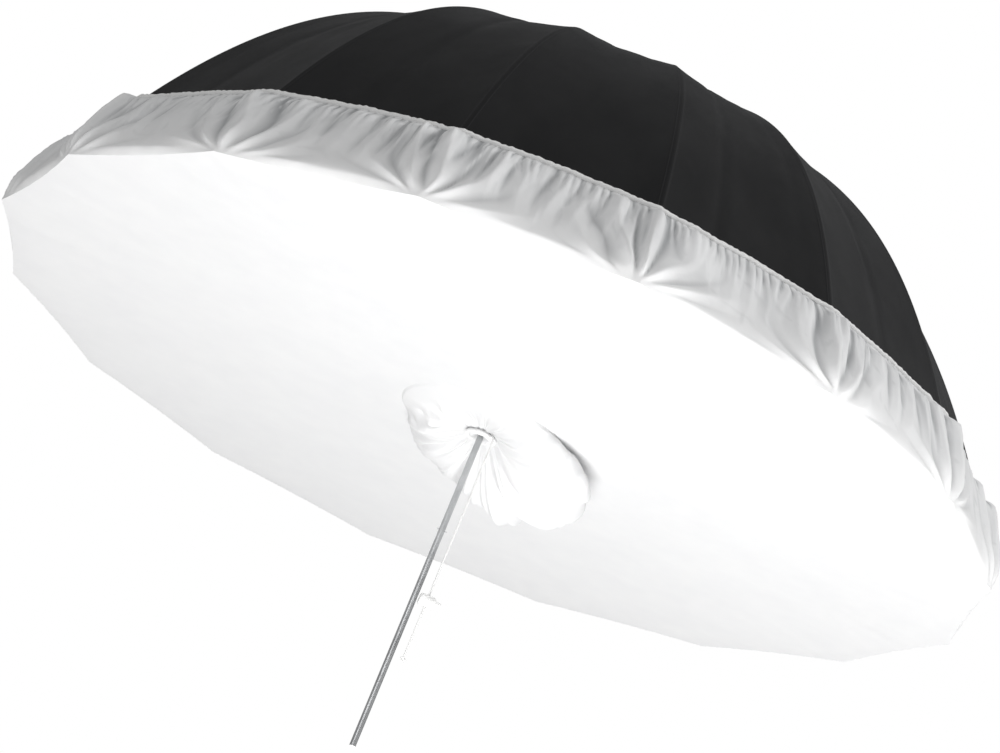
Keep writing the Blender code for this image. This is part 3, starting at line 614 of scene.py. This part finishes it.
# ---- sleeve ---------------------------------------------------------------------------
def along_table(table, share):
    """(radius, depth) at share 0 to 1 of a smooth line through the table's points."""
    table = np.array(table)
    last = len(table) - 1
    place = np.clip(share, 0, 1) * last
    index = np.minimum(place.astype(int), last - 1)
    t = (place - index)[..., None]
    p0, p1, p2, p3 = [table[np.clip(index + step, 0, last)] for step in (-1, 0, 1, 2)]
    line = p1 + 0.5 * ((p2 - p0) * t + (2 * p0 - 5 * p1 + 4 * p2 - p3) * t ** 2
                       + (3 * p1 - p0 - 3 * p2 + p3) * t ** 3)
    return line[..., 0], line[..., 1]


def sleeve_points(azimuth, share):
    """The drawn-in sleeve: slack on its far right, crumpled on its left, taut towards the front."""
    slack = (0.5 + 0.5 * np.cos(azimuth - SLEEVE_SIDE)) ** 1.5
    beside = (azimuth - SLEEVE_CLUMP + math.pi) % (2 * math.pi) - math.pi
    clump = np.exp(-(beside / 0.55) ** 2) * np.exp(-((share - 0.60) / 0.15) ** 2)
    taut_radius, taut_depth = along_table(SLEEVE_TAUT, share)
    slack_radius, slack_depth = along_table(SLEEVE_SLACK, share)
    radius = taut_radius + slack * (slack_radius - taut_radius)
    depth = taut_depth + slack * (slack_depth - taut_depth) + 0.011 * clump
    loose = np.clip(slack + clump, 0, 1)
    middle = np.sin(math.pi * share)
    x, y = np.cos(azimuth), np.sin(azimuth)
    turns = azimuth * 15 / (2 * math.pi)
    gather = zigzag(turns + 0.7 * noise_at(x * 2.4 + share, y * 2.4, 2.2)) - 0.5
    small = zigzag(3 * turns + 1.3 * noise_at(x * 5 - share * 1.4, y * 5, 8.2)) - 0.5
    crumple = noise_at(x * 4.2 + share * 2.2, y * 4.2 + share, 5.1) + 0.5 * noise_at(
        x * 10 - share * 3, y * 10 + share * 2, 6.4)
    push = middle * loose * (0.018 * crumple + 0.011 * gather + 0.004 * small)
    push += smooth_step(0.45, 0.90, share) * (0.0022 * gather + 0.0014 * small)
    radius = radius + 0.55 * push
    depth = np.maximum(depth + 0.85 * push, 0.0006) * smooth_step(0.0, 0.06, share)
    return np.stack([radius * x, radius * y, COVER_FACE_Z - FACE_THIN - depth], -1)


def frill_points(azimuth, share):
    """The puckered cloth past the casing, drawn in to the shaft."""
    turns = azimuth * 22 / (2 * math.pi)
    pucker = zigzag(turns + 0.6 * noise_at(np.cos(azimuth) * 3, np.sin(azimuth) * 3, 7.3)) - 0.5
    edge = NECK_RADIUS - 0.0005
    radius = edge - share * (edge - FRILL_RADIUS)
    height = CASING_Z + 0.0016 - 0.0050 * np.sin(math.pi * share) + 0.0030 * share + 0.0016 * pucker * share
    return np.stack([radius * np.cos(azimuth), radius * np.sin(azimuth), height], -1)


def build_sleeve(cloth, casing):
    """The sleeve's cloth, with the frill past its neck, and the tube of its drawstring casing."""
    columns = 480
    azimuth = np.arange(columns) * 2 * math.pi / columns
    share = np.linspace(0, 1, 64)
    wall = sleeve_points(*np.meshgrid(azimuth, share))
    points = np.concatenate([wall, frill_points(*np.meshgrid(azimuth, np.linspace(0.1, 1, 12)))])
    length = np.append(0, np.cumsum(np.linalg.norm(np.diff(points[:, 50], axis=0), axis=1)))
    mesh = grid_mesh("cover_sleeve_cloth", points, np.append(azimuth, 2 * math.pi) * 0.09, length)
    mesh.flip_normals()
    piece = link_object("cover_sleeve_cloth", mesh, cloth)
    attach(piece, "cover")
    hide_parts("cover_sleeve")
    beads = 0.5 + 0.5 * noise_at(azimuth * 6, 0.0, 4.4)
    centres = np.stack([NECK_RADIUS * np.cos(azimuth), NECK_RADIUS * np.sin(azimuth),
                        np.full(columns, CASING_Z)], -1)
    mesh = tube_mesh("sleeve_casing_cloth", centres[::4], CASING_RADIUS * (0.86 + 0.36 * beads[::4]), 12)
    tube = link_object("sleeve_casing_cloth", mesh, casing)
    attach(tube, "cover")
    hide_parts("sleeve_casing")


# ---- drawstring -----------------------------------------------------------------------
def smooth_line(points, spacing):
    """Points about spacing apart on one smooth curve through the given ones."""
    line = [points[0]]
    ends = [points[0]] + points + [points[-1]]
    for p0, p1, p2, p3 in zip(ends, ends[1:], ends[2:], ends[3:]):
        steps = max(1, round((p2 - p1).length / spacing))
        for step in range(1, steps + 1):
            t = step / steps
            bend = (2 * p0 - 5 * p1 + 4 * p2 - p3) * t * t + (3 * p1 - p0 - 3 * p2 + p3) * t * t * t
            line.append(p1 + ((p2 - p0) * t + bend) / 2)
    return line


def cord_curve(name, points, radius, material, cyclic=False):
    data = bpy.data.curves.new(name, "CURVE")
    data.dimensions = "3D"
    data.bevel_depth = radius
    data.bevel_resolution = 3
    data.use_fill_caps = True
    spline = data.splines.new("POLY")
    spline.points.add(len(points) - 1)
    spline.use_cyclic_u = cyclic
    for point, place in zip(spline.points, points):
        point.co = (*place, 1)
    data.materials.append(material)
    piece = bpy.data.objects.new(name, data)
    bpy.context.collection.objects.link(piece)
    return piece


def cord_place(offset, height):
    """A point of the drawstring, in the upright plane of its exit."""
    out = CORD_OUT + offset
    return Vector((out * math.cos(CORD_AZIMUTH), out * math.sin(CORD_AZIMUTH), height))


def build_drawstring(material):
    """The cord, with a trefoil knot at its lower end."""
    start = (NECK_RADIUS + CASING_RADIUS + CORD_GAP - CORD_OUT, CORD_ROUTE[0][1])
    route = [start] + CORD_ROUTE + [(0.0, CORD_END_Z + 2 * KNOT_RADIUS + CORD_GAP)]
    points = smooth_line([cord_place(offset, height) for offset, height in route], 4 * CORD_RADIUS)
    cord = cord_curve("drawstring_cord", points, CORD_RADIUS, material)
    centre = cord_place(0.0, CORD_END_Z + KNOT_RADIUS)
    loop = []
    for step in range(60):
        t = 2 * math.pi * step / 60
        loop.append(centre + Vector((math.sin(t) + 2 * math.sin(2 * t), -math.sin(3 * t) * 1.2,
                                     math.cos(t) - 2 * math.cos(2 * t))) * 0.00092)
    knot = cord_curve("drawstring_end_knot", loop, KNOT_CORD, material, cyclic=True)
    for piece, node in ((cord, "drawstring"), (knot, "drawstring_knot")):
        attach(piece, "cover")
        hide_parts(node)


# ---- frame parts ----------------------------------------------------------------------
def dress(material, *names):
    """Give shown CAD nodes a finished material."""
    for name in names:
        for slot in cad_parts[name].material_slots:
            slot.link = "OBJECT"
            slot.material = material


def dress_frame():
    """Materials of the shown CAD nodes, and a mesh of its own for the lock's spring, which on the real lock
    shortens as its button goes in.
    """
    shaft = brushed_steel("drawn_steel_tube", (0.56, 0.57, 0.58), 0.16, 0.34)
    bright = brushed_steel("bright_steel_wire", (0.60, 0.61, 0.62), 0.20, 0.36, (60, 60, 60))
    bars = brushed_steel("zinc_plated_bar", (0.42, 0.43, 0.44), 0.30, 0.48, (40, 40, 40))
    black = moulded_plastic("black_moulded_nylon", (0.018, 0.018, 0.020), 0.42)
    white = moulded_plastic("white_moulded_plastic", (0.80, 0.80, 0.79), 0.36)
    dress(shaft, "shaft_tube")
    dress(bright, "crown_ring", "runner_ring", "catch_pin", "stop_pin", "top_catch", "cord_lock_spring",
          "canopy_washer")
    dress(bars, *[f"rib_{i + 1:02d}" for i in range(RIBS)], *[f"stretcher_{i + 1:02d}" for i in range(RIBS)])
    dress(black, "crown", "runner_body", "ferrule_cap")
    dress(white, "shaft_end_plug", "cord_lock_body", "cord_lock_plunger")
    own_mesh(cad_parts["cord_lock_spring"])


# ---- stage ----------------------------------------------------------------------------
def soft_light(name, place, target, size, power):
    """A round area light aimed at target, and hidden from the camera."""
    data = bpy.data.lights.new(name, "AREA")
    data.shape = "DISK"
    data.size = size
    data.energy = power
    light = bpy.data.objects.new(name, data)
    bpy.context.collection.objects.link(light)
    light.location = place
    light.rotation_euler = (Vector(target) - Vector(place)).to_track_quat("-Z", "Y").to_euler()
    light.visible_camera = False


def build_stage():
    """A white backdrop with a weaker white fill, and three soft lights."""
    bpy.context.scene.view_settings.view_transform = "Standard"
    world = bpy.data.worlds.new("studio")
    bpy.context.scene.world = world
    world.use_nodes = True
    tree = world.node_tree
    seen = tree.nodes["Background"]
    seen.inputs["Color"].default_value = (1, 1, 1, 1)
    seen.inputs["Strength"].default_value = 1.0
    fill = tree.nodes.new("ShaderNodeBackground")
    fill.inputs["Color"].default_value = (1, 1, 1, 1)
    fill.inputs["Strength"].default_value = 0.40
    rays = tree.nodes.new("ShaderNodeLightPath")
    mix = tree.nodes.new("ShaderNodeMixShader")
    tree.links.new(rays.outputs["Is Camera Ray"], mix.inputs[0])
    tree.links.new(fill.outputs[0], mix.inputs[1])
    tree.links.new(seen.outputs[0], mix.inputs[2])
    tree.links.new(mix.outputs[0], tree.nodes["World Output"].inputs["Surface"])
    soft_light("face_light", (0.3, -0.9, -1.8), (0.0, 0, 0.3), 2.6, 76)
    soft_light("right_light", (3.4, -1.6, 2.4), (0.2, 0, 0.5), 1.8, 80)
    soft_light("front_light", (-1.6, -3.6, 0.9), (0, 0, 0.4), 1.6, 21)


add_camera()
build_drawstring(cord_braid())
build_canopy((black_shell(), silver_lining()))
white_cloth = diffuser_cloth("white_diffuser_cloth", (0.93, 0.93, 0.93), (0.90, 0.90, 0.905), 0.22)
# the skirt's folds get painted shade and painted highlight in their colour
skirt_cloth = diffuser_cloth("white_skirt_cloth", (0.88, 0.885, 0.89), (0.78, 0.785, 0.79), 0.10, painted_fold_strength=0.85)
build_face(white_cloth)
build_skirt(skirt_cloth)
build_hem(braid("white_shirred_elastic", (0.92, 0.92, 0.91), (0.70, 0.70, 0.70), 0.0016))
build_sleeve(white_cloth, braid("white_casing_cloth", (0.92, 0.92, 0.92), (0.80, 0.80, 0.80), 0.0020))
dress_frame()
build_stage()
